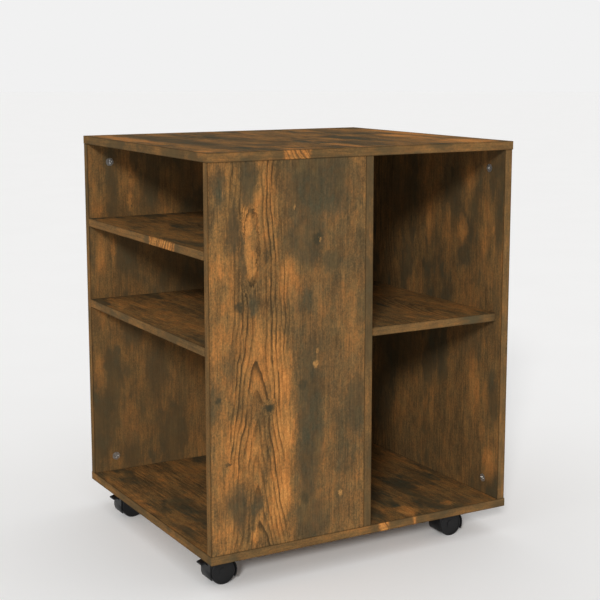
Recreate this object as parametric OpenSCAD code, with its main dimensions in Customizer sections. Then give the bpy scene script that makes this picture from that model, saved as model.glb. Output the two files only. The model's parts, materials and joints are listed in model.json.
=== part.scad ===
// Mobile printer stand: a boarded cabinet, open on its left side and on the right half of its
// front, standing on four hooded twin-wheel casters. Millimetres. +Z is up, -Y is the front,
// and the origin is on the floor under the middle of the cabinet.

/* [Cabinet] */
// Width of the top and bottom panels, along X
cabinet_w = 600; // [560:1:680]
// Depth of the top and bottom panels, along Y
cabinet_d = 530; // [500:1:580]
// Height of the boarded box, without its casters
box_h = 670; // [640:1:760]
// Thickness of every board
board = 15; // [15:0.5:18]
// Thickness of the glued strips that cover the boards' visible edges
band_t = 0.8; // [0.4:0.1:2]
// How far the top and bottom stand out past the back and right panels
overhang = 2; // [1:0.5:6]

/* [Shelves] */
// Underside of the upper left shelf, above the underside of the box
upper_shelf_z = 500; // [460:1:560]
// Underside of the lower left shelf and of the right shelf
lower_shelf_z = 345; // [300:1:400]
// How far the right shelf's front edge stands back from the front
right_shelf_setback = 18; // [5:1:60]

/* [Cam fittings] */
// Radius of a cam lock
cam_r = 7.5; // [6:0.5:7.5]
// Depth of a cam lock's pocket
cam_depth = 12.5; // [10:0.5:13]
// From an upright's top edge to the cam lock's middle
cam_reach_top = 35; // [24:1:40]
// From an upright's bottom edge to the cam lock's middle
cam_reach_bottom = 29; // [24:1:40]
// From a shelf's end to the cam lock's middle
cam_reach_shelf = 24; // [20:1:34]
// Radius of a cam bolt's shank
bolt_r = 3; // [2:0.5:3.5]
// Radius of a wooden dowel
dowel_r = 4; // [3:0.5:5]
// Length of a wooden dowel
dowel_len = 30; // [24:1:35]

/* [Casters] */
// Height of a caster, from the floor to the underside of the box
caster_h = 50; // [48:1:56]
// Radius of a wheel
wheel_r = 22; // [20:0.5:22]
// Width of one wheel
wheel_w = 12; // [9:0.5:13]
// Thickness of the web between a caster's two wheels
web_t = 9; // [8:0.5:11]
// Distance from the swivel axis to the wheel axle
trail = 12; // [10:0.5:14]
// Outer radius of the hood over the wheels
hood_r = 25.3; // [24:0.1:25.3]
// Thickness of the hood's wall
hood_t = 2.1; // [1.6:0.1:2.4]
// Height of the hood's lower edge above the floor
hood_low_z = 10.5; // [8:0.5:16]
// Side of the square mounting plate
plate_side = 38; // [36:1:44]
// Thickness of the mounting plate
plate_t = 2; // [1.5:0.1:2]
// Width of a brake lever's paddle
paddle_w = 17; // [12:0.5:20]

/* [Caster places] */
// Wheel middle of the left casters, in from the left edge
left_wheel_inset = 38.5; // [38.5:0.5:120]
// Wheel middle of the right casters, in from the right edge
right_wheel_inset = 96.5; // [60:0.5:140]
// Middle of the front casters, in from the front edge
front_wheel_inset = 50; // [45:0.5:140]
// Middle of the rear casters, in from the back edge
rear_wheel_inset = 97.5; // [60:0.5:140]

/* [Hidden] */

$fn = 48;

// Colours
oak = [0.42, 0.27, 0.13];
oak_edge = [0.36, 0.24, 0.12];
nickel = [0.72, 0.72, 0.70];
steel = [0.62, 0.63, 0.65];
beech = [0.80, 0.66, 0.46];
black = [0.10, 0.10, 0.11];
grey_black = [0.16, 0.16, 0.17];

// A little extra length that lets a cut run past the face it opens
past = 1;

// The box: its faces, and the planes where boards meet
left_x = -cabinet_w / 2;
right_x = cabinet_w / 2;
front_y = -cabinet_d / 2;
back_y = cabinet_d / 2;
low_z = caster_h;
high_z = caster_h + box_h;
floor_z = low_z + board;
ceiling_z = high_z - board;
divider_left = -board / 2;
divider_right = board / 2;
side_outer = right_x - overhang;
side_inner = side_outer - board;
back_outer = back_y - overhang;
back_inner = back_outer - board;
front_inner = front_y + board;
shelf_mid_lower = low_z + lower_shelf_z + board / 2;
shelf_mid_upper = low_z + upper_shelf_z + board / 2;

// Cam joints of the uprights: [x, y, turn that brings the pocket's mouth round to face -Y]
upright_margin = 45;
dowel_margin = 95;
back_mid = back_outer - board / 2;
side_mid = side_outer - board / 2;
front_mid = front_y + board / 2;
upright_cams = [
    [left_x + upright_margin, back_mid, 0],
    [side_inner - upright_margin, back_mid, 0],
    [side_mid, front_y + upright_margin, -90],
    [side_mid, back_inner - upright_margin, -90],
    [left_x + upright_margin, front_mid, 180],
    [divider_left - upright_margin, front_mid, 180],
    [0, front_inner + upright_margin, -90],
    [0, back_inner - upright_margin, -90]
];
upright_dowels = [
    [left_x + dowel_margin, back_mid],
    [side_inner - dowel_margin, back_mid],
    [side_mid, front_y + dowel_margin],
    [side_mid, back_inner - dowel_margin],
    [left_x + dowel_margin, front_mid],
    [divider_left - dowel_margin, front_mid],
    [0, front_inner + dowel_margin],
    [0, back_inner - dowel_margin]
];

// Cam joints of the shelves: [x, y, z, true where the shelf runs towards +X from the joint]
left_shelf_cam_y = 150;
right_shelf_cam_y = 180;
shelf_cams = [
    for (z = [shelf_mid_lower, shelf_mid_upper], y = [-left_shelf_cam_y, left_shelf_cam_y])
        [divider_left, y, z, false],
    for (y = [-right_shelf_cam_y, right_shelf_cam_y])
        [divider_right, y, shelf_mid_lower, true],
    for (y = [-right_shelf_cam_y, right_shelf_cam_y])
        [side_inner, y, shelf_mid_lower, false]
];

// Dowels of the shelves: [x, y of the joint, z]
shelf_dowel_inset = 70;
left_dowel_x = [left_x + shelf_dowel_inset, divider_left - shelf_dowel_inset];
right_dowel_x = [divider_right + shelf_dowel_inset, side_inner - shelf_dowel_inset];
shelf_dowels = [
    for (z = [shelf_mid_lower, shelf_mid_upper], x = left_dowel_x, y = [front_inner, back_inner])
        [x, y, z],
    for (x = right_dowel_x)
        [x, back_inner, shelf_mid_lower]
];

// Hairline gap round each edge strip
band_gap = 0.05;

// Fittings
cam_play = 0.05;
cam_sink = 0.1;
cam_room = 0.3;
bolt_hole_r = bolt_r + 0.5;
bolt_tip_r = 2;
bolt_depth = 11;
bolt_collar_r = 3.4;
bolt_collar_t = 1;
bolt_head_r = 2.9;
bolt_head_t = 2.5;
bolt_neck_r = 2;
bolt_neck_t = 3;
recess_w = 1.6;
recess_len = 9;
recess_depth = 2;
dowel_in_panel = 10;

// Casters
wheel_gap = 0.4;
wheel_in = web_t / 2 + wheel_gap;
wheel_out = wheel_in + wheel_w;
hood_half_w = wheel_out + 0.4;
hood_in_r = hood_r - hood_t;
wheel_room_r = hood_in_r + 0.3;
web_r = hood_in_r + 1;
corner_step = 0.2;
cheek_t = 1.9;
axle_r = 2.5;
axle_play = 0.06;
axle_end_room = 0.35;
wheel_face_t = 2.6;
wheel_bore_depth = wheel_w - wheel_face_t;
pin_r = 3;
pin_play = 0.05;
pin_low_z = 30;
pin_groove_r = 2.5;
pin_groove_z = 33;
pin_groove_h = 2;
plate_low_z = caster_h - plate_t;
washer_r = 7;
washer_t = 0.4;
screw_off = 14;
screw_r = 1.7;
screw_head_r = 3.3;
screw_len = 14;
screw_drive = 0.9;

// Brake, measured from the wheel's middle
brake_pin_r = 1.5;
brake_pin_x = -19.7;
brake_pin_z = 19.7;
brake_hub_r = 3.2;
paddle_end_x = -37.6;
paddle_end_z = 17.6;
paddle_t = 2.6;
shoe_w = 3.2;
shoe_in = web_t / 2 + 0.8;
shoe_t = 2;
shoe_low_z = 11.5;
slot_low_z = 12.5;

// Caster places: [x and y of the swivel axis, true where it has a brake]
left_swivel_x = left_x + left_wheel_inset + trail;
right_swivel_x = right_x - right_wheel_inset + trail;
front_swivel_y = front_y + front_wheel_inset;
rear_swivel_y = back_y - rear_wheel_inset;
front_left = [left_swivel_x, front_swivel_y, true];
rear_left = [left_swivel_x, rear_swivel_y, true];
front_right = [right_swivel_x, front_swivel_y, false];
rear_right = [right_swivel_x, rear_swivel_y, false];
casters = [front_left, rear_left, front_right, rear_right];

// ---- boards ----
// A board's block is its place: [low corner, high corner, banded low sides, banded high sides],
// where the sides are 1 along each axis whose edge has a strip. Its core is the block without
// the strips.
right_shelf_front = front_y + right_shelf_setback;
top_block = [[left_x, front_y, ceiling_z], [right_x, back_y, high_z], [1, 1, 0], [1, 1, 0]];
bottom_block = [[left_x, front_y, low_z], [right_x, back_y, floor_z], [1, 1, 0], [1, 1, 0]];
front_block = [
    [left_x, front_y, floor_z], [divider_left, front_inner, ceiling_z], [1, 0, 0], [0, 0, 0]
];
divider_block = [
    [divider_left, front_y, floor_z], [divider_right, back_inner, ceiling_z], [0, 1, 0], [0, 0, 0]
];
right_block = [
    [side_inner, front_y, floor_z], [side_outer, back_inner, ceiling_z], [0, 1, 0], [0, 0, 0]
];
back_block = [
    [left_x, back_inner, floor_z], [side_outer, back_outer, ceiling_z], [1, 0, 0], [1, 0, 0]
];
right_shelf_block = [
    [divider_right, right_shelf_front, low_z + lower_shelf_z],
    [side_inner, back_inner, low_z + lower_shelf_z + board],
    [0, 1, 0], [0, 0, 0]
];

function left_shelf_block(low) = [
    [left_x, front_inner, low], [divider_left, back_inner, low + board], [1, 0, 0], [0, 0, 0]
];
upper_shelf_block = left_shelf_block(low_z + upper_shelf_z);
lower_shelf_block = left_shelf_block(low_z + lower_shelf_z);

module box_between(low, high) {
    translate(low)
        cube(high - low);
}

module board_core(block) {
    box_between(block[0] + band_t * block[2], block[1] - band_t * block[3]);
}

// The strips on a block's two ends along one axis (0 is X, 1 is Y). Strips on the Y ends run
// the block's whole length, strips on the X ends fit between them, and a hairline gap keeps
// each strip clear of the next board's.
module end_bands(block, axis) {
    trim = axis == 0 ? [0, band_t, 0] : [0, 0, 0];
    gap = axis == 0 ? [0, band_gap, band_gap] : [band_gap, 0, band_gap];
    low = block[0] + [0, trim[1] * block[2][1], 0] + gap;
    high = block[1] - [0, trim[1] * block[3][1], 0] - gap;
    size = high - low;
    strip = axis == 0 ? [band_t, size[1], size[2]] : [size[0], band_t, size[2]];
    if (block[2][axis] == 1)
        translate(low)
            cube(strip);
    if (block[3][axis] == 1)
        translate(high - strip)
            cube(strip);
}

// A cam joint's own frame: the two boards meet at z = 0, the joined board runs towards +Z,
// and its pocket opens on the -Y face.
module at_upright_end(joint, at_top) {
    translate([joint[0], joint[1], at_top ? ceiling_z : floor_z])
        mirror([0, 0, at_top ? 1 : 0])
            rotate([0, 0, joint[2]])
                children();
}

module at_shelf_end(joint) {
    translate([joint[0], joint[1], joint[2]])
        mirror([joint[3] ? 0 : 1, 0, 0])
            rotate([90, 0, 90])
                children();
}

module cam_pocket(reach) {
    translate([0, -board / 2 - past, reach])
        rotate([-90, 0, 0])
            cylinder(r = cam_r, h = cam_depth + past);
}

module bolt_bore(reach) {
    translate([0, 0, -past])
        cylinder(r = bolt_hole_r, h = reach + past);
}

module bolt_socket() {
    translate([0, 0, -bolt_depth])
        cylinder(r = bolt_tip_r, h = bolt_depth + past);
}

module joint_cut(reach) {
    cam_pocket(reach);
    bolt_bore(reach);
}

module cam_lock(reach) {
    translate([0, -board / 2 + cam_sink, reach])
        rotate([-90, 0, 0])
            difference() {
                cylinder(r = cam_r - cam_play, h = cam_depth - 2 * cam_sink);
                for (turn = [0, 90])
                    rotate([0, 0, turn])
                        translate([-recess_len / 2, -recess_w / 2, -past])
                            cube([recess_len, recess_w, recess_depth + past]);
                translate([0, -cam_room, board / 2 - cam_sink])
                    rotate([-90, 0, 0])
                        cylinder(r = bolt_hole_r, h = cam_r + cam_room + past);
            }
}

module cam_bolt(reach) {
    head_low = reach - 2.5;
    neck_low = head_low - bolt_neck_t;
    translate([0, 0, -bolt_depth])
        cylinder(r = bolt_tip_r, h = bolt_depth);
    cylinder(r = bolt_collar_r, h = bolt_collar_t);
    cylinder(r = bolt_r, h = neck_low);
    translate([0, 0, neck_low])
        cylinder(r = bolt_neck_r, h = bolt_neck_t);
    translate([0, 0, head_low])
        cylinder(r = bolt_head_r, h = bolt_head_t);
}

module upright_cuts() {
    for (joint = upright_cams) {
        at_upright_end(joint, true)
            joint_cut(cam_reach_top);
        at_upright_end(joint, false)
            joint_cut(cam_reach_bottom);
    }
    for (place = upright_dowels, at_top = [false, true])
        at_upright_end([place[0], place[1], 0], at_top)
            dowel_at_joint(past);
}

module panel_cuts(at_top) {
    for (joint = upright_cams)
        at_upright_end(joint, at_top)
            bolt_socket();
    for (place = upright_dowels)
        at_upright_end([place[0], place[1], 0], at_top)
            dowel_at_joint(0);
}

module shelf_joint_cuts() {
    for (joint = shelf_cams)
        at_shelf_end(joint)
            joint_cut(cam_reach_shelf);
    shelf_dowel_solids();
}

module shelf_socket_cuts() {
    for (joint = shelf_cams)
        at_shelf_end(joint)
            bolt_socket();
    shelf_dowel_solids();
}

module dowel_at_joint(extra) {
    translate([0, 0, -dowel_in_panel])
        cylinder(r = dowel_r, h = dowel_len + extra);
}

module shelf_dowel_solids() {
    for (place = shelf_dowels) {
        into_shelf = place[1] < 0 ? -90 : 90;
        translate(place)
            rotate([into_shelf, 0, 0])
                dowel_at_joint(0);
    }
}

module top_panel() {
    color(oak)
        difference() {
            board_core(top_block);
            panel_cuts(true);
        }
}

module bottom_panel() {
    color(oak)
        difference() {
            board_core(bottom_block);
            panel_cuts(false);
            for (caster = casters)
                at_screws(caster)
                    screw_shank();
        }
}

module front_panel() {
    color(oak)
        difference() {
            board_core(front_block);
            upright_cuts();
            shelf_socket_cuts();
        }
}

module divider_panel() {
    color(oak)
        difference() {
            board_core(divider_block);
            upright_cuts();
            shelf_socket_cuts();
        }
}

module right_side_panel() {
    color(oak)
        difference() {
            board_core(right_block);
            upright_cuts();
            shelf_socket_cuts();
        }
}

module back_panel() {
    color(oak)
        difference() {
            board_core(back_block);
            upright_cuts();
            shelf_socket_cuts();
        }
}

module shelf(block) {
    color(oak)
        difference() {
            board_core(block);
            shelf_joint_cuts();
        }
}

module edge_bands(block) {
    color(oak_edge)
        for (axis = [0, 1])
            end_bands(block, axis);
}

// ---- fittings ----

module cam_locks() {
    color(nickel)
        for (joint = upright_cams) {
            at_upright_end(joint, true)
                cam_lock(cam_reach_top);
            at_upright_end(joint, false)
                cam_lock(cam_reach_bottom);
        }
}

module cam_bolts() {
    color(steel)
        for (joint = upright_cams) {
            at_upright_end(joint, true)
                cam_bolt(cam_reach_top);
            at_upright_end(joint, false)
                cam_bolt(cam_reach_bottom);
        }
}

module shelf_cam_locks() {
    color(nickel)
        for (joint = shelf_cams)
            at_shelf_end(joint)
                cam_lock(cam_reach_shelf);
}

module shelf_cam_bolts() {
    color(steel)
        for (joint = shelf_cams)
            at_shelf_end(joint)
                cam_bolt(cam_reach_shelf);
}

module wooden_dowels() {
    color(beech) {
        for (place = upright_dowels, at_top = [false, true])
            at_upright_end([place[0], place[1], 0], at_top)
                dowel_at_joint(0);
        shelf_dowel_solids();
    }
}

module at_screws(caster) {
    for (x = [-screw_off, screw_off], y = [-screw_off, screw_off])
        translate([caster[0] + x, caster[1] + y, plate_low_z])
            children();
}

module screw_shank() {
    cylinder(r = screw_r, h = screw_len);
}

module screw_head(extra) {
    translate([0, 0, -extra])
        cylinder(r = screw_head_r, h = extra);
    cylinder(r1 = screw_head_r, r2 = screw_r, h = plate_t - 0.1);
}

module caster_screws() {
    color(steel)
        for (caster = casters)
            at_screws(caster)
                difference() {
                    union() {
                        screw_shank();
                        screw_head(0);
                    }
                    for (turn = [0, 90])
                        rotate([0, 0, turn])
                            translate([-screw_head_r / 2, -screw_drive / 2, -past])
                                cube([screw_head_r, screw_drive, past + 1]);
                }
}

// ---- casters ----
// at_swivel puts z = 0 on the floor under the swivel axis. at_wheel puts the origin in the
// middle of the axle, with the axle along Y and the swivel axis on the +X side.

module at_swivel(caster) {
    translate([caster[0], caster[1], 0])
        children();
}

module at_wheel(caster) {
    translate([caster[0] - trail, caster[1], wheel_r])
        children();
}

module along_y(half) {
    translate([0, half, 0])
        rotate([90, 0, 0])
            children();
}

module caster_plate(caster) {
    color(steel)
        difference() {
            at_swivel(caster)
                plate_blank();
            at_screws(caster) {
                screw_shank();
                screw_head(past);
            }
        }
}

module plate_blank() {
    corner_r = 4;
    inner = plate_side / 2 - corner_r;
    difference() {
        translate([0, 0, plate_low_z])
            linear_extrude(plate_t)
                union() {
                    square([plate_side, 2 * inner], center = true);
                    square([2 * inner, plate_side], center = true);
                    for (x = [-inner, inner], y = [-inner, inner])
                        translate([x, y])
                            circle(r = corner_r);
                }
        translate([0, 0, plate_low_z - past])
            cylinder(r = pin_r, h = plate_t + 2 * past);
    }
}

module swivel_pin(caster) {
    color(steel)
        at_swivel(caster)
            difference() {
                translate([0, 0, pin_low_z])
                    cylinder(r = pin_r, h = caster_h - pin_low_z - 0.2);
                translate([0, 0, pin_groove_z])
                    rotate_extrude()
                        translate([pin_groove_r, 0])
                            square([pin_r, pin_groove_h]);
            }
}

module swivel_washer(caster) {
    color(steel)
        at_swivel(caster)
            translate([0, 0, plate_low_z - washer_t])
                difference() {
                    cylinder(r = washer_r, h = washer_t);
                    translate([0, 0, -past])
                        cylinder(r = pin_r, h = washer_t + 2 * past);
                }
}

// The corner block squares off the hood's round outline where the brake sits
module corner_block(side, half) {
    translate([-side, -half, 0])
        cube([side, 2 * half, side]);
}

module hood_shell() {
    difference() {
        union() {
            along_y(hood_half_w)
                cylinder(r = hood_r, h = 2 * hood_half_w, $fn = 96);
            corner_block(hood_r - corner_step, hood_half_w);
        }
        corner_block(hood_in_r, hood_half_w - cheek_t);
        along_y(hood_half_w + past)
            cylinder(r = wheel_room_r, h = 2 * (hood_half_w + past), $fn = 96);
    }
}

module hood_web() {
    along_y(web_t / 2)
        cylinder(r = web_r, h = web_t, $fn = 96);
}

module hood(caster) {
    color(black)
        difference() {
            at_wheel(caster)
                difference() {
                    union() {
                        hood_shell();
                        hood_web();
                    }
                    below_hood();
                    along_y(web_t)
                        cylinder(r = axle_r, h = 2 * web_t);
                    if (caster[2])
                        brake_room();
                }
            at_swivel(caster)
                translate([0, 0, pin_low_z - past])
                    cylinder(r = pin_r + pin_play, h = caster_h);
        }
}

module below_hood() {
    reach = hood_r + past;
    translate([-reach, -hood_half_w - past, -reach])
        cube([2 * reach, 2 * (hood_half_w + past), reach - wheel_r + hood_low_z]);
}

// What a brake needs cut from its hood: the paddle's slot and the pin's holes
module brake_room() {
    translate([-hood_r - past, -paddle_w / 2 - 0.6, slot_low_z])
        cube([hood_t + 2 * past, paddle_w + 1.2, hood_in_r - slot_low_z]);
    translate([brake_pin_x, 0, brake_pin_z])
        along_y(hood_half_w + past)
            cylinder(r = brake_pin_r, h = 2 * (hood_half_w + past));
}

module axle(caster) {
    end = wheel_in + wheel_bore_depth - axle_end_room;
    color(steel)
        at_wheel(caster)
            along_y(end)
                cylinder(r = axle_r, h = 2 * end);
}

// One wheel, from its inner face at z = 0 to its outer face: a crowned rim, a shallow dish
// round a low hub on the outer face, and a blind bore that hides the axle's end
module wheel_body() {
    rim_r = 1.6;
    dish_out_r = 18.5;
    dish_in_r = 7.2;
    dish_depth = 0.8;
    difference() {
        rotate_extrude($fn = 96)
            difference() {
                union() {
                    square([wheel_r - rim_r, wheel_w]);
                    translate([0, rim_r])
                        square([wheel_r, wheel_w - 2 * rim_r]);
                    for (z = [rim_r, wheel_w - rim_r])
                        translate([wheel_r - rim_r, z])
                            circle(r = rim_r);
                }
                translate([dish_in_r, wheel_w - dish_depth])
                    square([dish_out_r - dish_in_r, dish_depth + past]);
            }
        translate([0, 0, -past])
            cylinder(r = axle_r + axle_play, h = wheel_bore_depth + past);
    }
}

module wheel(caster, side) {
    color(grey_black)
        at_wheel(caster)
            mirror([0, side, 0])
                translate([0, -wheel_in, 0])
                    rotate([90, 0, 0])
                        wheel_body();
}

module brake_pin(caster) {
    end = hood_half_w - 0.2;
    color(steel)
        at_wheel(caster)
            translate([brake_pin_x, 0, brake_pin_z])
                along_y(end)
                    cylinder(r = brake_pin_r, h = 2 * end);
}

// The paddle's side outline, from the hub out to its end
module paddle_outline() {
    polygon([
        [brake_pin_x, brake_pin_z + brake_hub_r],
        [paddle_end_x + 1, paddle_end_z + 0.3],
        [paddle_end_x, paddle_end_z - 0.5],
        [paddle_end_x, paddle_end_z - paddle_t + 0.8],
        [paddle_end_x + 1, paddle_end_z - paddle_t],
        [-hood_r, brake_pin_z - brake_hub_r - 0.6],
        [brake_pin_x, brake_pin_z - brake_hub_r]
    ]);
}

module shoe_outline() {
    polygon([
        [brake_pin_x - 3, brake_pin_z],
        [brake_pin_x - 3, shoe_low_z],
        [brake_pin_x - 3 + shoe_t, shoe_low_z],
        [brake_pin_x, brake_pin_z - 4]
    ]);
}

module brake_lever(caster) {
    color(black)
        at_wheel(caster)
            difference() {
                union() {
                    along_y(paddle_w / 2)
                        linear_extrude(paddle_w)
                            paddle_outline();
                    translate([brake_pin_x, 0, brake_pin_z])
                        along_y(paddle_w / 2)
                            cylinder(r = brake_hub_r, h = paddle_w);
                    for (side = [0, 1])
                        mirror([0, side, 0])
                            translate([0, shoe_in, 0])
                                along_y(shoe_w)
                                    linear_extrude(shoe_w)
                                        shoe_outline();
                }
                translate([brake_pin_x, 0, brake_pin_z])
                    along_y(paddle_w)
                        cylinder(r = brake_pin_r + pin_play, h = 2 * paddle_w);
            }
}

// ---- the nodes ----

top_panel();
bottom_panel();
front_panel();
divider_panel();
right_side_panel();
back_panel();
shelf(upper_shelf_block);  // upper_left_shelf
shelf(lower_shelf_block);  // lower_left_shelf
shelf(right_shelf_block);  // right_shelf
edge_bands(top_block);  // top_panel_edge_bands
edge_bands(bottom_block);  // bottom_panel_edge_bands
edge_bands(front_block);  // front_panel_edge_band
edge_bands(divider_block);  // divider_edge_band
edge_bands(right_block);  // right_side_edge_band
edge_bands(back_block);  // back_panel_edge_bands
edge_bands(upper_shelf_block);  // upper_left_shelf_edge_band
edge_bands(lower_shelf_block);  // lower_left_shelf_edge_band
edge_bands(right_shelf_block);  // right_shelf_edge_band
cam_locks();
cam_bolts();
shelf_cam_locks();
shelf_cam_bolts();
wooden_dowels();
caster_screws();
caster_plate(front_left);  // front_left_plate
swivel_pin(front_left);  // front_left_swivel_pin
swivel_washer(front_left);  // front_left_swivel_washer
hood(front_left);  // front_left_hood
axle(front_left);  // front_left_axle
wheel(front_left, 0);  // front_left_wheel_a
wheel(front_left, 1);  // front_left_wheel_b
brake_pin(front_left);  // front_left_brake_pin
brake_lever(front_left);  // front_left_brake_lever
caster_plate(rear_left);  // rear_left_plate
swivel_pin(rear_left);  // rear_left_swivel_pin
swivel_washer(rear_left);  // rear_left_swivel_washer
hood(rear_left);  // rear_left_hood
axle(rear_left);  // rear_left_axle
wheel(rear_left, 0);  // rear_left_wheel_a
wheel(rear_left, 1);  // rear_left_wheel_b
brake_pin(rear_left);  // rear_left_brake_pin
brake_lever(rear_left);  // rear_left_brake_lever
caster_plate(front_right);  // front_right_plate
swivel_pin(front_right);  // front_right_swivel_pin
swivel_washer(front_right);  // front_right_swivel_washer
hood(front_right);  // front_right_hood
axle(front_right);  // front_right_axle
wheel(front_right, 0);  // front_right_wheel_a
wheel(front_right, 1);  // front_right_wheel_b
caster_plate(rear_right);  // rear_right_plate
swivel_pin(rear_right);  // rear_right_swivel_pin
swivel_washer(rear_right);  // rear_right_swivel_washer
hood(rear_right);  // rear_right_hood
axle(rear_right);  // rear_right_axle
wheel(rear_right, 0);  // rear_right_wheel_a
wheel(rear_right, 1);  // rear_right_wheel_b
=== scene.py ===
"""The looks of a mobile printer stand: a cabinet of oak-print boards on black twin-wheel casters."""

import json
import math

import bpy
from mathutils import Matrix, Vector


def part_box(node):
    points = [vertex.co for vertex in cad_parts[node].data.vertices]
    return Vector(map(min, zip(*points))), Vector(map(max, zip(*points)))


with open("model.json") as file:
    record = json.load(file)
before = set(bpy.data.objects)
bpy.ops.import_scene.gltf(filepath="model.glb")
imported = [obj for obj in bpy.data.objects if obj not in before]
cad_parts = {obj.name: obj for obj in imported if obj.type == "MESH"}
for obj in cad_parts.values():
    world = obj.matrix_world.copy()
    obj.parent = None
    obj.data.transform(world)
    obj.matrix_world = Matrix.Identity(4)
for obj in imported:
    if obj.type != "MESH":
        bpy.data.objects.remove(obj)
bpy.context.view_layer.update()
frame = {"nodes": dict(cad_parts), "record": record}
nodes = frame["nodes"]

# ---- camera, light and floor ----

# metres, and for the lens and the sensor millimetres
CAMERA_PLACE = (-1.210, -2.140, 0.871)
CAMERA_TURN = math.radians(29.85)
CAMERA_DIP = math.radians(9.11)
CAMERA_LENS = 80.7
CAMERA_SENSOR = 36
CAMERA_SHIFT = -0.05
CAMERA_REACH = 100

# azimuth 0 is the front, and a lamp at a negative one stands to the left of it
KEY_AZIMUTH = math.radians(-38)
KEY_HEIGHT = math.radians(24)
KEY_SPREAD = 0.17
KEY_STRENGTH = 1.98
KEY_COLOUR = (1.0, 0.985, 0.96)
FILL_AZIMUTH = math.radians(-30)
FILL_HEIGHT = math.radians(12)
FILL_SPREAD = 0.5
FILL_STRENGTH = 0.3
FILL_COLOUR = (1.0, 1.0, 1.0)
LAMP_DISTANCE = 5

# the sky's strength as a light, and as the camera sees it
SKY_LIGHT = 0.66
BACKGROUND = 0.88
FLOOR_RADIUS = 30
FLOOR_SIDES = 96


def make_camera():
    camera = bpy.data.cameras.new("camera")
    camera.lens = CAMERA_LENS
    camera.sensor_width = CAMERA_SENSOR
    camera.shift_y = CAMERA_SHIFT
    camera.clip_end = CAMERA_REACH
    holder = bpy.data.objects.new("camera", camera)
    holder.location = CAMERA_PLACE
    holder.rotation_euler = (math.pi / 2 - CAMERA_DIP, 0, -CAMERA_TURN)
    bpy.context.scene.collection.objects.link(holder)
    bpy.context.scene.camera = holder


def make_lamp(name, azimuth, height, spread, strength, colour, shadow):
    """A distant lamp at an azimuth and a height angle. The wider its spread, the softer its shadows."""
    toward = Vector((
        math.sin(azimuth) * math.cos(height),
        -math.cos(azimuth) * math.cos(height),
        math.sin(height),
    ))
    lamp = bpy.data.lights.new(name, "SUN")
    lamp.angle = spread
    lamp.energy = strength
    lamp.color = colour
    lamp.use_shadow = shadow
    holder = bpy.data.objects.new(name, lamp)
    holder.location = toward * LAMP_DISTANCE
    holder.rotation_euler = toward.to_track_quat("Z", "Y").to_euler()
    bpy.context.scene.collection.objects.link(holder)


def make_world():
    """An even pale sky, which the camera sees a little brighter than it lights."""
    world = bpy.data.worlds.new("sky")
    bpy.context.scene.world = world
    world.use_nodes = True
    tree = world.node_tree
    tree.nodes.clear()
    out = tree.nodes.new("ShaderNodeOutputWorld")
    sky = tree.nodes.new("ShaderNodeBackground")
    sky.inputs["Color"].default_value = (1, 1, 1, 1)
    path = tree.nodes.new("ShaderNodeLightPath")
    level = tree.nodes.new("ShaderNodeMapRange")
    level.inputs["To Min"].default_value = SKY_LIGHT
    level.inputs["To Max"].default_value = BACKGROUND
    tree.links.new(path.outputs["Is Camera Ray"], level.inputs["Value"])
    tree.links.new(level.outputs["Result"], sky.inputs["Strength"])
    tree.links.new(sky.outputs[0], out.inputs["Surface"])


def make_floor(material):
    """A wide round floor at height 0."""
    mesh = bpy.data.meshes.new("floor")
    ring = [2 * math.pi * i / FLOOR_SIDES for i in range(FLOOR_SIDES)]
    corners = [(FLOOR_RADIUS * math.cos(a), FLOOR_RADIUS * math.sin(a), 0) for a in ring]
    mesh.from_pydata(corners, [], [list(range(FLOOR_SIDES))])
    floor = bpy.data.objects.new("floor", mesh)
    floor.data.materials.append(material)
    bpy.context.scene.collection.objects.link(floor)


# ---- node trees ----

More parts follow.
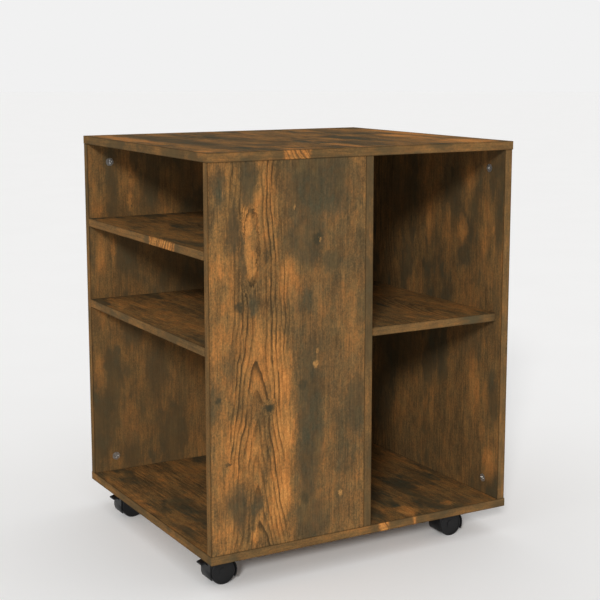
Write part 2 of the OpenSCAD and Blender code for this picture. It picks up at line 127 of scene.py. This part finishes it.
class Tree:
    """Short calls for building a material's or a group's nodes. Values are numbers or sockets."""

    def __init__(self, tree):
        self.tree = tree

    def put(self, value, socket):
        if isinstance(value, bpy.types.NodeSocket):
            self.tree.links.new(value, socket)
        elif value is not None:
            socket.default_value = value

    def node(self, kind, inputs=(), **settings):
        made = self.tree.nodes.new("ShaderNode" + kind)
        for name, value in settings.items():
            setattr(made, name, value)
        for i, value in enumerate(inputs):
            self.put(value, made.inputs[i])
        return made

    def math(self, operation, *values):
        return self.node("Math", values, operation=operation).outputs[0]

    def clamped(self, operation, *values):
        return self.node("Math", values, operation=operation, use_clamp=True).outputs[0]

    def vector(self, x, y, z):
        return self.node("CombineXYZ", (x, y, z)).outputs[0]

    def scaled(self, vector, scale):
        return self.node("VectorMath", (vector, scale), operation="MULTIPLY").outputs[0]

    def noise(self, vector, scale, detail=2.0, roughness=0.5):
        """Smooth noise from 0 to 1, scale cells to the metre along each axis of vector."""
        made = self.node("TexNoise", noise_dimensions="3D")
        self.put(self.scaled(vector, scale), made.inputs["Vector"])
        made.inputs["Scale"].default_value = 1.0
        made.inputs["Detail"].default_value = detail
        made.inputs["Roughness"].default_value = roughness
        return made.outputs["Fac"]

    def about(self, value, amount):
        """A noise value turned into an offset of up to half of amount each way."""
        return self.math("MULTIPLY", self.math("SUBTRACT", value, 0.5), amount)

    def step(self, value, low, high, start=0.0, end=1.0):
        """Goes smoothly from start to end as value goes from low to high."""
        made = self.node("MapRange", interpolation_type="SMOOTHSTEP")
        for socket, setting in zip(made.inputs, (value, low, high, start, end)):
            self.put(setting, socket)
        return made.outputs["Result"]

    def mix(self, share, a, b):
        made = self.node("Mix", data_type="RGBA")
        self.put(share, made.inputs[0])
        self.put(a, made.inputs[6])
        self.put(b, made.inputs[7])
        return made.outputs[2]

    def ramp(self, value, *stops):
        """A colour that goes through stops, each (place from 0 to 1, colour), as value rises."""
        made = self.node("ValToRGB", (value,))
        points = made.color_ramp.elements
        while len(points) < len(stops):
            points.new(0.5)
        for point, (at, colour) in zip(points, stops):
            point.position = at
            point.color = colour
        return made.outputs[0]

    def brightened(self, colour, factor):
        """A colour times a factor."""
        made = self.node("VectorMath", operation="SCALE")
        self.put(colour[:3] if isinstance(colour, tuple) else colour, made.inputs[0])
        self.put(factor, made.inputs["Scale"])
        return made.outputs[0]

    def group(self, group, **values):
        made = self.tree.nodes.new("ShaderNodeGroup")
        made.node_tree = group
        for name, value in values.items():
            self.put(value, made.inputs[name])
        return made.outputs


def new_group(name, inputs, outputs):
    """A node group with these sockets: (its Tree, its input sockets, its output node's inputs)."""
    group = bpy.data.node_groups.new(name, "ShaderNodeTree")
    for side, sockets in (("INPUT", inputs), ("OUTPUT", outputs)):
        for socket, kind in sockets.items():
            group.interface.new_socket(socket, in_out=side, socket_type="NodeSocket" + kind)
    tree = Tree(group)
    came = group.nodes.new("NodeGroupInput").outputs
    goes = group.nodes.new("NodeGroupOutput").inputs
    return tree, came, goes


def new_material(name):
    """A material with a Principled shader: (material, its Tree, the shader's inputs)."""
    material = bpy.data.materials.new(name)
    material.use_nodes = True
    material.node_tree.nodes.clear()
    tree = Tree(material.node_tree)
    shader = tree.node("BsdfPrincipled")
    out = tree.node("OutputMaterial")
    material.node_tree.links.new(shader.outputs[0], out.inputs["Surface"])
    return material, tree, shader.inputs


def place(tree):
    """The surface point's x, y and z, in metres in the cabinet's frame."""
    point = tree.node("TexCoord").outputs["Object"]
    return tree.node("SeparateXYZ", (point,)).outputs


def add_bump(tree, shader, height, depth, strength=1.0):
    bump = tree.node("Bump")
    bump.inputs["Strength"].default_value = strength
    bump.inputs["Distance"].default_value = depth
    tree.put(height, bump.inputs["Height"])
    tree.put(bump.outputs["Normal"], shader["Normal"])


def rgb(r, g, b):
    """A colour given as the eye reads it, 0 to 255, in linear light."""
    def linear(c):
        c /= 255
        return c / 12.92 if c <= 0.04045 else ((c + 0.055) / 1.055) ** 2.4
    return (linear(r), linear(g), linear(b), 1.0)


# ---- oak print ----

UMBER = rgb(68, 55, 38)
BROWN = rgb(100, 77, 49)
TAN = rgb(126, 92, 54)
ORANGE = rgb(152, 104, 57)
GOLD = rgb(184, 126, 68)
LINE = rgb(58, 46, 31)
SMOKE = rgb(86, 72, 49)
SMOKE_DARK = rgb(64, 58, 44)
SMOKE_GREEN = rgb(54, 61, 50)
KNOT = rgb(46, 48, 38)
CREAM = rgb(186, 136, 78)
CALM = rgb(96, 75, 48)

# growth lines, in metres: their spacing, how blunt their arches are, and how far they spread for
# each metre that they run down the grain below Turn, which sets how long the arches are
RING_SPACING = 0.0082
RING_BLUNTNESS = 0.009
RING_TAPER = 0.15

# how far apart in the noise two boards lie, and how fast it changes through a board and a strip
SEED_STEP = 5.3
BOARD_DEPTH_SCALE = 37.0
STRIP_DEPTH_SCALE = 3.0

OAK_SPECULAR = 0.01
OAK_BUMP = 0.0002


def make_blotch_group():
    """A soft ragged spot: 1 in its middle and 0 outside its half sizes."""
    tree, came, goes = new_group(
        "blotch",
        {"Across": "Float", "Along": "Float", "Middle": "Vector", "Half": "Vector", "Amount": "Float"},
        {"Share": "Float"},
    )
    offset = tree.node("VectorMath", (tree.vector(came["Across"], came["Along"], 0), came["Middle"]),
                       operation="SUBTRACT").outputs[0]
    offset = tree.node("VectorMath", (offset, came["Half"]), operation="DIVIDE").outputs[0]
    reach = tree.node("VectorMath", (offset,), operation="LENGTH").outputs["Value"]
    tree.put(tree.math("MULTIPLY", tree.step(reach, 1.25, 0.45), came["Amount"]), goes["Share"])
    return tree.tree


def make_drift_group():
    """Moves a point a little, so that what is drawn around it has ragged edges."""
    tree, came, goes = new_group("drift", {"Point": "Vector", "Share": "Float"},
                                 {"Across": "Float", "Along": "Float"})
    point = came["Point"]
    parts = tree.node("SeparateXYZ", (point,)).outputs
    aside = tree.node("VectorMath", (point, (3.1, 1.7, 9.2)), operation="ADD").outputs[0]
    for name, part, near, cells, sway in (
        ("Across", parts[0], point, (27, 13, 1), 0.036),
        ("Along", parts[1], aside, (24, 10, 1), 0.070),
    ):
        broad = tree.about(tree.noise(near, cells, 4, 0.62), sway)
        moved = tree.math("MULTIPLY", broad, came["Share"])
        moved = tree.math("ADD", moved, tree.about(tree.noise(near, (170, 110, 1), 3, 0.7), 0.016))
        tree.put(tree.math("ADD", part, moved), goes[name])
    return tree.tree


def growth_lines(tree, came, point):
    """Dark growth lines, 1 where they are darkest. They run along the grain on both sides of the
    heart line and turn round it in arches below Turn, and an island spreads them apart."""
    parts = tree.node("SeparateXYZ", (point,)).outputs
    across = tree.math("ADD", parts[0], tree.about(tree.noise(point, (12, 6, 1), 2), 0.030))
    across = tree.math("ADD", across, tree.about(tree.noise(point, (45, 22, 1), 2), 0.0080))
    across = tree.math("ADD", across, tree.about(tree.noise(point, (150, 60, 1), 2), 0.0022))
    along = tree.math("ADD", parts[1], tree.about(tree.noise(point, (18, 9, 2), 3), 0.03))
    off = tree.math("SUBTRACT", across, came["Heart"])
    open_out = tree.math("SUBTRACT", 1.0, came["Island"])
    ring = tree.math("SQRT", tree.math("ADD", tree.math("MULTIPLY", off, off), RING_BLUNTNESS ** 2))
    ring = tree.math("MULTIPLY", ring, open_out)
    below = tree.math("MINIMUM", tree.math("SUBTRACT", along, came["Turn"]), 0.0)
    phase = tree.math("DIVIDE", tree.math("MULTIPLY_ADD", below, RING_TAPER, ring), RING_SPACING)
    phase = tree.math("ADD", phase, tree.about(tree.noise(point, (22, 5, 3), 2), 0.8))
    share = tree.math("FRACT", phase)
    chance = tree.node("TexWhiteNoise", noise_dimensions="1D")
    tree.put(tree.math("FLOOR", phase), chance.inputs["W"])
    line = tree.math("MULTIPLY", tree.step(share, 0.35, 0.86), tree.step(share, 1.0, 0.92))
    line = tree.math("MULTIPLY", line, tree.step(chance.outputs["Value"], 0.0, 0.6, 0.6, 1.0))
    away = tree.math("ADD", tree.math("ABSOLUTE", off), tree.about(tree.noise(point, (20, 7, 1), 2), 0.04))
    near = tree.step(tree.math("DIVIDE", away, came["Reach"]), 1.15, 0.75)
    faded = tree.step(tree.noise(point, (60, 18, 6), 3), 0.34, 0.52, 0.5, 1.0)
    return tree.math("MULTIPLY", tree.math("MULTIPLY", line, faded), near)


def make_oak_group():
    """The printed oak: soft brown to gold earlywood with growth lines about a heart line, fine
    grain and mottling, under patches of dark smoke."""
    tree, came, goes = new_group(
        "oak print",
        {"Point": "Vector", "Heart": "Float", "Turn": "Float", "Reach": "Float", "Lines": "Float",
         "Island": "Float", "Smoke": "Float", "Smoky": "Float", "Glow": "Float"},
        {"Color": "Color", "Roughness": "Float", "Height": "Float"},
    )
    point = came["Point"]
    line = tree.math("MULTIPLY", growth_lines(tree, came, point), came["Lines"])

    # mottling from broad to fine, longer along the grain
    broad = tree.about(tree.noise(point, (22, 8, 1), 3, 0.6), 1.0)
    cloud = tree.about(tree.noise(point, (85, 32, 1), 5, 0.72), 1.0)
    grit = tree.about(tree.noise(point, (430, 300, 1), 3, 0.75), 1.0)
    streak = tree.about(tree.noise(point, (170, 7, 1), 3, 0.6), 1.0)
    grain = tree.about(tree.noise(point, (420, 18, 1), 3, 0.65), 1.0)

    # smoke
    patch = tree.noise(point, (13, 5, 1), 4, 0.65)
    level = tree.math("ADD", tree.math("ADD", patch, came["Smoky"]), tree.math("MULTIPLY", cloud, 0.16))
    smoke = tree.math("MAXIMUM", tree.step(level, 0.50, 0.63), came["Smoke"])
    smoke = tree.math("ADD", smoke, tree.math("MULTIPLY", cloud, 0.45))
    smoke = tree.math("ADD", smoke, tree.math("MULTIPLY", streak, 0.12))
    smoke = tree.clamped("MULTIPLY", smoke, tree.math("SUBTRACT", 1.0, came["Glow"]))

    # colours
    tone = tree.math("MULTIPLY_ADD", came["Glow"], 0.36, 0.42)
    for part, share in ((broad, 0.7), (cloud, 0.75), (streak, 0.26), (grain, 0.42), (grit, 0.5)):
        tone = tree.math("MULTIPLY_ADD", part, share, tone)
    wood = tree.ramp(tone, (0.1, UMBER), (0.34, BROWN), (0.5, TAN), (0.66, ORANGE), (0.92, GOLD))
    inked = tree.math("MULTIPLY", line, tree.math("MULTIPLY_ADD", smoke, -0.65, 1.0))
    wood = tree.mix(tree.math("MULTIPLY", inked, 0.9), wood, LINE)
    shade = tree.math("ADD", tree.noise(point, (26, 14, 5), 4, 0.65), tree.math("MULTIPLY", grit, 0.2))
    dark = tree.ramp(shade, (0.34, SMOKE), (0.52, SMOKE_DARK), (0.7, SMOKE_GREEN))
    wood = tree.mix(tree.math("MULTIPLY", smoke, 0.9), wood, dark)

    # redder and greener patches
    tint = tree.step(tree.noise(point, (55, 30, 7), 3, 0.65), 0.38, 0.62)
    wood = tree.scaled(wood, tree.mix(tint, (1.05, 0.98, 0.93, 1.0), (0.97, 1.01, 1.02, 1.0)))

    # fine fibres and pores
    fibre = tree.about(tree.noise(point, (700, 60, 1), 3, 0.6), 1.0)
    pore = tree.step(tree.noise(point, (900, 90, 1), 1), 0.66, 0.76)
    light = tree.math("MULTIPLY_ADD", grain, 0.5, tree.math("MULTIPLY_ADD", fibre, 0.4, 1.0))
    light = tree.math("MULTIPLY_ADD", grit, 0.75, light)
    light = tree.math("MULTIPLY_ADD", pore, -0.14, light)
    tree.put(tree.brightened(wood, light), goes["Color"])

    rough = tree.math("MULTIPLY_ADD", cloud, 0.35, 0.78)
    tree.put(tree.math("MULTIPLY_ADD", line, 0.08, rough), goes["Roughness"])
    height = tree.math("MULTIPLY_ADD", line, -0.5, tree.math("MULTIPLY", fibre, 0.5))
    tree.put(tree.math("MULTIPLY_ADD", pore, -0.5, height), goes["Height"])
    return tree.tree


blotch_group = make_blotch_group()
drift_group = make_drift_group()
oak_group = make_oak_group()


def blotches(tree, moved, spots):
    """The strongest of several blotches, each (across, along, half across, half along, amount)."""
    share = 0.0
    for across, along, half_across, half_along, amount in spots:
        one = tree.group(blotch_group, Across=moved["Across"], Along=moved["Along"],
                         Middle=(across, along, 0), Half=(half_across, half_along, 1),
                         Amount=amount)["Share"]
        share = tree.math("MAXIMUM", share, one)
    return share


def seam_line_and_painted_shade(tree, at, name, axes):
    """Darker in a thin line at both ends of a board's or a strip's face along each of axes: the seams' own
    dark line, with painted shade standing in for the shadow that falls into the seams where boards and
    strips meet.
    """
    low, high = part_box(name)
    shade = 1.0
    for axis in axes:
        inward = tree.math("MINIMUM", tree.math("SUBTRACT", at[axis], low[axis]),
                           tree.math("SUBTRACT", high[axis], at[axis]))
        shade = tree.math("MULTIPLY", shade, tree.step(inward, 0.0003, 0.0018, 0.62, 1.0))
    return shade


def finish_oak(tree, shader, oak, colour):
    """Connects the oak print to its shader, with this colour."""
    tree.put(colour, shader["Base Color"])
    tree.put(oak["Roughness"], shader["Roughness"])
    shader["Specular IOR Level"].default_value = OAK_SPECULAR
    add_bump(tree, shader, oak["Height"], OAK_BUMP, 0.4)


def oak_material(name, grain, across, seed, heart, turn, reach=0.09, lines=0.6, smoky=0.0, calm=0.0,
                 smoke=(), glow=(), islands=(), knots=(), specks=()):
    """Oak print for a board, with its grain along one axis and its figure spread along another.
    The third axis, through the board, gives its two faces different figures. The higher calm is,
    the less its colours vary."""
    material, tree, shader = new_material("oak " + name)
    at = place(tree)
    through = 3 - grain - across
    layer = tree.math("MULTIPLY_ADD", at[through], BOARD_DEPTH_SCALE, seed * SEED_STEP)
    point = tree.vector(at[across], at[grain], layer)
    moved = tree.group(drift_group, Point=point, Share=1.0)
    steady = tree.group(drift_group, Point=point, Share=0.15)
    oak = tree.group(oak_group, Point=point, Heart=heart, Turn=turn, Reach=reach, Lines=lines,
                     Island=blotches(tree, steady, islands), Smoke=blotches(tree, moved, smoke),
                     Smoky=smoky, Glow=blotches(tree, moved, glow))
    colour = tree.mix(calm, oak["Color"], CALM)
    colour = tree.mix(blotches(tree, steady, knots), colour, KNOT)
    grit = tree.step(tree.noise(point, (520, 300, 1), 2), 0.36, 0.56, 0.35, 1.0)
    flecks = tree.math("MULTIPLY", blotches(tree, steady, specks), grit)
    colour = tree.mix(flecks, colour, CREAM)
    # the board's colour, with its seam line and painted seam shade along its edges
    finish_oak(tree, shader, oak, tree.brightened(colour, seam_line_and_painted_shade(tree, at, name, (across, grain))))
    dress(name, material)


def dress(name, material):
    """Gives a CAD node a material in place of its own."""
    for slot in nodes[name].material_slots:
        slot.material = material


X, Y, Z = 0, 1, 2

# The boards' own figures, in metres in the cabinet's frame. Each spot is (across, along, half
# across, half along, amount), as blotches() takes it.

# Smoke over the front panel's right side, gold to the left of it, and growth lines that run
# round a long bright tongue near the top and in arches near the bottom
FRONT = {
    "smoke": (
        (-0.075, 0.400, 0.090, 0.420, 0.42),
        (-0.100, 0.665, 0.082, 0.085, 0.92),
        (-0.122, 0.575, 0.050, 0.062, 0.88),
        (-0.070, 0.538, 0.026, 0.022, 0.85),
        (-0.130, 0.474, 0.030, 0.030, 0.8),
        (-0.227, 0.668, 0.018, 0.046, 0.9),
        (-0.256, 0.605, 0.014, 0.045, 0.85),
        (-0.282, 0.665, 0.014, 0.034, 0.75),
        (-0.116, 0.250, 0.032, 0.190, 0.93),
        (-0.106, 0.095, 0.044, 0.060, 0.85),
        (-0.026, 0.290, 0.028, 0.075, 0.85),
        (-0.018, 0.450, 0.016, 0.030, 0.8),
        (-0.045, 0.200, 0.030, 0.040, 0.55),
        (-0.250, 0.140, 0.030, 0.042, 0.85),
        (-0.214, 0.138, 0.013, 0.026, 0.8),
        (-0.292, 0.320, 0.012, 0.044, 0.7),
        (-0.268, 0.370, 0.014, 0.036, 0.5),
        (-0.222, 0.478, 0.010, 0.022, 0.7),
        (-0.237, 0.555, 0.008, 0.045, 0.6),
    ),
    "glow": (
        (-0.229, 0.608, 0.010, 0.030, 0.8),
        (-0.221, 0.545, 0.014, 0.036, 0.75),
        (-0.284, 0.560, 0.016, 0.060, 0.45),
        (-0.285, 0.460, 0.018, 0.060, 0.2),
        (-0.174, 0.365, 0.028, 0.085, 0.85),
        (-0.168, 0.250, 0.026, 0.065, 0.8),
        (-0.176, 0.150, 0.026, 0.065, 0.85),
        (-0.168, 0.085, 0.026, 0.030, 0.5),
        (-0.150, 0.505, 0.022, 0.050, 0.5),
        (-0.195, 0.640, 0.022, 0.070, 0.35),
        (-0.215, 0.400, 0.040, 0.070, 0.45),
        (-0.240, 0.240, 0.045, 0.055, 0.65),
        (-0.215, 0.086, 0.012, 0.014, 0.85),
        (-0.275, 0.100, 0.025, 0.030, 0.4),
        (-0.040, 0.440, 0.024, 0.100, 0.22),
    ),
    "islands": (
        (-0.226, 0.565, 0.017, 0.080, 0.9),
        (-0.192, 0.300, 0.012, 0.014, 0.8),
    ),
    "knots": (
        (-0.193, 0.300, 0.011, 0.007, 0.8),
        (-0.101, 0.574, 0.012, 0.011, 0.6),
        (-0.129, 0.334, 0.011, 0.009, 0.5),
        (-0.268, 0.217, 0.006, 0.004, 0.7),
        (-0.285, 0.325, 0.006, 0.005, 0.6),
        (-0.124, 0.137, 0.009, 0.014, 0.55),
        (-0.246, 0.472, 0.009, 0.010, 0.7),
        (-0.055, 0.135, 0.009, 0.010, 0.4),
        (-0.195, 0.552, 0.007, 0.014, 0.5),
    ),
    "specks": (
        (-0.094, 0.573, 0.0025, 0.005, 0.6),
        (-0.104, 0.364, 0.0050, 0.007, 0.6),
        (-0.055, 0.135, 0.0045, 0.007, 0.7),
        (-0.143, 0.628, 0.0020, 0.003, 0.5),
        (-0.101, 0.386, 0.0030, 0.004, 0.4),
    ),
}
RIGHT_SIDE = {
    "smoke": (
        (-0.252, 0.600, 0.016, 0.110, 0.9),
        (-0.112, 0.620, 0.036, 0.075, 0.9),
        (-0.150, 0.505, 0.026, 0.036, 0.95),
        (-0.245, 0.255, 0.018, 0.060, 0.9),
        (-0.250, 0.420, 0.014, 0.060, 0.5),
        (-0.060, 0.500, 0.030, 0.050, 0.6),
        (0.060, 0.600, 0.060, 0.070, 0.6),
        (-0.180, 0.350, 0.030, 0.050, 0.6),
        (0.050, 0.300, 0.060, 0.080, 0.7),
        (0.120, 0.160, 0.040, 0.060, 0.7),
    ),
    "glow": (
        (-0.145, 0.560, 0.016, 0.022, 0.6),
        (-0.103, 0.572, 0.010, 0.022, 0.55),
        (-0.205, 0.560, 0.014, 0.090, 0.35),
        (-0.170, 0.640, 0.012, 0.036, 0.4),
        (-0.040, 0.540, 0.012, 0.040, 0.4),
        (-0.235, 0.120, 0.026, 0.035, 0.7),
        (-0.190, 0.250, 0.020, 0.060, 0.4),
    ),
    "knots": (
        (-0.110, 0.655, 0.006, 0.012, 0.5),
        (-0.020, 0.470, 0.007, 0.012, 0.4),
    ),
}
BACK = {
    "smoke": (
        (-0.252, 0.640, 0.014, 0.095, 0.9),
        (-0.168, 0.640, 0.020, 0.095, 0.85),
        (-0.215, 0.515, 0.030, 0.030, 0.85),
        (-0.215, 0.350, 0.030, 0.050, 0.85),
        (-0.165, 0.250, 0.030, 0.080, 0.8),
        (-0.250, 0.300, 0.012, 0.014, 0.9),
        (-0.290, 0.200, 0.012, 0.060, 0.6),
        (-0.120, 0.470, 0.040, 0.060, 0.6),
    ),
    "glow": (
        (-0.222, 0.645, 0.018, 0.050, 0.55),
        (-0.212, 0.590, 0.006, 0.022, 0.8),
        (-0.285, 0.590, 0.012, 0.040, 0.6),
        (-0.252, 0.490, 0.005, 0.040, 0.7),
        (-0.280, 0.500, 0.012, 0.040, 0.5),
        (-0.275, 0.370, 0.016, 0.040, 0.4),
        (-0.285, 0.260, 0.012, 0.050, 0.5),
        (-0.220, 0.160, 0.030, 0.050, 0.4),
    ),
    "knots": (
        (-0.215, 0.640, 0.004, 0.006, 0.5),
        (-0.200, 0.660, 0.004, 0.006, 0.4),
    ),
}
TOP = {
    "smoke": (
        (-0.215, 0.020, 0.038, 0.260, 0.85),
        (-0.120, -0.130, 0.040, 0.040, 0.8),
        (-0.185, -0.215, 0.030, 0.036, 0.5),
        (0.045, -0.170, 0.050, 0.090, 0.65),
        (0.115, -0.080, 0.024, 0.100, 0.5),
        (0.175, 0.150, 0.030, 0.110, 0.6),
    ),
    "glow": (
        (0.240, -0.215, 0.050, 0.060, 1.0),
        (0.215, -0.060, 0.030, 0.120, 0.7),
        (0.270, 0.040, 0.022, 0.160, 0.75),
        (-0.282, -0.222, 0.020, 0.030, 0.7),
        (-0.272, 0.110, 0.022, 0.150, 0.7),
        (-0.010, -0.200, 0.020, 0.060, 0.7),
        (-0.130, -0.245, 0.030, 0.014, 0.7),
    ),
}
BOTTOM = {
    "smoke": (
        (-0.285, -0.130, 0.014, 0.050, 0.8),
        (0.045, -0.215, 0.020, 0.040, 0.85),
        (-0.250, -0.200, 0.020, 0.030, 0.6),
        (0.230, -0.235, 0.020, 0.030, 0.6),
    ),
    "glow": (
        (0.105, -0.235, 0.020, 0.024, 0.9),
        (0.190, -0.240, 0.016, 0.014, 0.7),
        (-0.230, -0.245, 0.020, 0.016, 0.6),
        (-0.292, 0.020, 0.008, 0.060, 0.5),
    ),
}

oak_material("front_panel", Z, X, 1, heart=-0.212, turn=0.4, reach=0.052, lines=0.95, smoky=-0.2, **FRONT)
oak_material("back_panel", Z, X, 2, heart=0.12, turn=0.40, reach=0.06, lines=0.7,
             smoky=0.02, calm=0.38, **BACK)
oak_material("divider_panel", Z, Y, 3, heart=-0.05, turn=0.62)
oak_material("right_side_panel", Z, Y, 4, heart=0.12, turn=0.50, reach=0.05, lines=0.6,
             smoky=0.02, calm=0.25, **RIGHT_SIDE)
oak_material("top_panel", Y, X, 5, heart=-0.08, turn=0.30, reach=0.04, lines=0.4, **TOP)
oak_material("bottom_panel", Y, X, 6, heart=-0.20, turn=-0.30, reach=0.05, lines=0.5, **BOTTOM)
oak_material("upper_left_shelf", Y, X, 7, heart=-0.16, turn=0.3, reach=0.04)
oak_material("lower_left_shelf", Y, X, 8, heart=-0.10, turn=-0.3, reach=0.04)
oak_material("right_shelf", Y, X, 9, heart=0.20, turn=0.3, reach=0.04)


# ---- edge strips ----

# a little more than the strips' thickness
STRIP_DEPTH = 0.0009


def edge_material(name, grain, across, seed, smoky=0.02, flames=(), rim=False):
    """Oak print for a node of edge strips, streaked along each strip, with short flames of bright
    slanted grain, each (middle along the strip, half length). A rim goes round all four sides of
    a board: its side strips run along Y, and the flames are on its front strip."""
    material, tree, shader = new_material("oak edge " + name)
    at = place(tree)
    along = at[grain]
    shown = 1.0
    if rim:
        ends_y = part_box(name)[1][Y] - STRIP_DEPTH
        end_strip = tree.math("GREATER_THAN", tree.math("ABSOLUTE", at[Y]), ends_y)
        along = tree.math("MULTIPLY_ADD", tree.math("SUBTRACT", at[X], at[Y]), end_strip, at[Y])
        shown = tree.math("LESS_THAN", at[Y], -ends_y)
    through = 3 - grain - across
    layer = tree.math("MULTIPLY_ADD", at[through], STRIP_DEPTH_SCALE, seed * SEED_STEP)
    point = tree.vector(at[across], along, layer)
    flame = beside = 0.0
    for middle, half in flames:
        away = tree.math("ABSOLUTE", tree.math("SUBTRACT", along, middle))
        away = tree.math("ADD", away, tree.about(tree.noise(point, (120, 60, 1), 2), 0.012))
        flame = tree.math("MAXIMUM", flame, tree.step(away, half + 0.003, half - 0.006))
        beside = tree.math("MAXIMUM", beside, tree.step(away, half + 0.030, half + 0.010))
    flame = tree.math("MULTIPLY", flame, shown)
    oak = tree.group(oak_group, Point=point, Heart=9.0, Turn=0.0, Reach=0.05, Lines=0.0, Island=0.0,
                     Smoke=tree.math("MULTIPLY", beside, 0.75), Smoky=smoky,
                     Glow=tree.math("MULTIPLY", flame, 0.95))
    calmed = tree.mix(tree.math("MULTIPLY_ADD", flame, -0.4, 0.4), oak["Color"], CALM)
    slant = tree.math("MULTIPLY_ADD", at[across], 0.6, along)
    slant = tree.math("ADD", slant, tree.about(tree.noise(point, (90, 60, 1), 2), 0.012))
    bar = tree.step(tree.noise(tree.vector(slant, 0.0, layer), (230, 1, 1), 2), 0.46, 0.62)
    bar = tree.math("MULTIPLY", tree.math("MULTIPLY", bar, flame), 0.7)
    colour = tree.mix(bar, calmed, UMBER)
    sides = {axis for axis in (X, Y, Z) if not rim or axis == across} - {through}
    # the strip's colour, with its seam line and painted seam shade along its edges
    finish_oak(tree, shader, oak, tree.brightened(colour, seam_line_and_painted_shade(tree, at, name, sides)))
    dress(name, material)


edge_material("top_panel_edge_bands", X, Z, 11, smoky=0.12, flames=((-0.138, 0.028),), rim=True)
edge_material("bottom_panel_edge_bands", X, Z, 12, flames=((0.036, 0.012), (0.100, 0.005)), rim=True)
edge_material("front_panel_edge_band", Z, Y, 13)
edge_material("divider_edge_band", Z, X, 14, smoky=0.13)
edge_material("right_side_edge_band", Z, X, 15)
edge_material("back_panel_edge_bands", Z, Y, 16)
edge_material("upper_left_shelf_edge_band", Y, Z, 17, flames=((-0.087, 0.053),))
edge_material("lower_left_shelf_edge_band", Y, Z, 18)
edge_material("right_shelf_edge_band", X, Z, 19)


# ---- metal, plastic and beech ----

def metal_material(name, colour, roughness, mottle, metallic):
    """Plated metal with fine scratches and a slightly uneven sheen."""
    material, tree, shader = new_material(name)
    point = tree.node("TexCoord").outputs["Object"]
    cloud = tree.noise(point, (260, 260, 260), 4, 0.6)
    scratch = tree.noise(point, (90, 2400, 2400), 2)
    shade = tree.math("ADD", 1.0, tree.about(cloud, mottle))
    tree.put(tree.brightened(colour, shade), shader["Base Color"])
    rough = tree.math("ADD", roughness, tree.about(cloud, 0.3))
    tree.put(tree.math("ADD", rough, tree.about(scratch, 0.12)), shader["Roughness"])
    shader["Metallic"].default_value = metallic
    add_bump(tree, shader, tree.math("ADD", cloud, scratch), 0.00005, 0.4)
    return material


def beech_material():
    """Pale beech with short dark flecks along Z."""
    material, tree, shader = new_material("beech")
    point = tree.node("TexCoord").outputs["Object"]
    fleck = tree.step(tree.noise(point, (900, 900, 120), 2), 0.55, 0.7)
    tone = tree.noise(point, (160, 160, 40), 3)
    wood = tree.mix(tone, rgb(214, 180, 132), rgb(188, 146, 98))
    tree.put(tree.mix(tree.math("MULTIPLY", fleck, 0.4), wood, rgb(150, 108, 66)), shader["Base Color"])
    tree.put(tree.math("ADD", 0.6, tree.about(tone, 0.2)), shader["Roughness"])
    add_bump(tree, shader, tree.math("SUBTRACT", tone, fleck), 0.0001, 0.4)
    return material


def plastic_material(name, colour, pale, roughness):
    """Moulded black plastic: a fine sand texture, faint flow marks and light scuffs."""
    material, tree, shader = new_material(name)
    point = tree.node("TexCoord").outputs["Object"]
    sand = tree.noise(point, (1500, 1500, 1500), 2)
    flow = tree.noise(point, (70, 70, 35), 4, 0.6)
    scuff = tree.step(tree.noise(point, (260, 900, 420), 4, 0.7), 0.6, 0.75)
    worn = tree.math("MULTIPLY", scuff, 0.35)
    base = tree.brightened(colour, tree.math("ADD", 1.0, tree.about(flow, 0.8)))
    tree.put(tree.mix(worn, base, pale), shader["Base Color"])
    rough = tree.math("ADD", roughness, tree.about(flow, 0.25))
    tree.put(tree.math("ADD", rough, tree.math("MULTIPLY", scuff, 0.12)), shader["Roughness"])
    shader["Specular IOR Level"].default_value = 0.25
    add_bump(tree, shader, sand, 0.00006, 0.5)
    return material


def floor_material():
    """A pale matt floor, all but even in tone."""
    material, tree, shader = new_material("floor")
    point = tree.node("TexCoord").outputs["Object"]
    tone = tree.noise(point, (3, 3, 3), 3)
    tree.put(tree.mix(tone, rgb(248, 248, 248), rgb(251, 251, 251)), shader["Base Color"])
    shader["Roughness"].default_value = 0.8
    shader["Specular IOR Level"].default_value = 0.2
    return material


slot_materials = {
    "nickel": metal_material("nickel", rgb(208, 207, 204), 0.32, 0.7, 0.86),
    "steel": metal_material("steel", rgb(190, 192, 196), 0.3, 0.2, 1.0),
    "beech": beech_material(),
    "black_plastic": plastic_material("black plastic", rgb(13, 13, 14), rgb(46, 46, 48), 0.45),
    "wheel_plastic": plastic_material("wheel plastic", rgb(19, 19, 20), rgb(56, 56, 58), 0.52),
}


# ---- worn edges ----

EASE_WIDTHS = {"oak_board": 0.0004, "oak_edge": 0.0003, "black_plastic": 0.0004, "wheel_plastic": 0.0004}
EASE_SEGMENTS = 2
SHARP_ANGLE = math.radians(40)
WELD_DISTANCE = 0.000002


def ease_edges(name, width):
    """Rounds a node's sharp edges a little, so that they catch the light."""
    piece = nodes[name]
    weld = piece.modifiers.new("weld", "WELD")
    weld.merge_threshold = WELD_DISTANCE
    bevel = piece.modifiers.new("bevel", "BEVEL")
    bevel.width = width
    bevel.segments = EASE_SEGMENTS
    bevel.limit_method = "ANGLE"
    bevel.angle_limit = SHARP_ANGLE
    bevel.harden_normals = True


# ---- the whole object ----

for subpart in frame["record"]["subparts"]:
    name = subpart["node"]
    slot = subpart["material_slot"]
    if slot in slot_materials:
        dress(name, slot_materials[slot])
    if slot in EASE_WIDTHS:
        ease_edges(name, EASE_WIDTHS[slot])

make_camera()
make_lamp("key", KEY_AZIMUTH, KEY_HEIGHT, KEY_SPREAD, KEY_STRENGTH, KEY_COLOUR, shadow=True)
make_lamp("fill", FILL_AZIMUTH, FILL_HEIGHT, FILL_SPREAD, FILL_STRENGTH, FILL_COLOUR, shadow=False)
make_world()
make_floor(floor_material())
bpy.context.scene.view_settings.view_transform = "Standard"
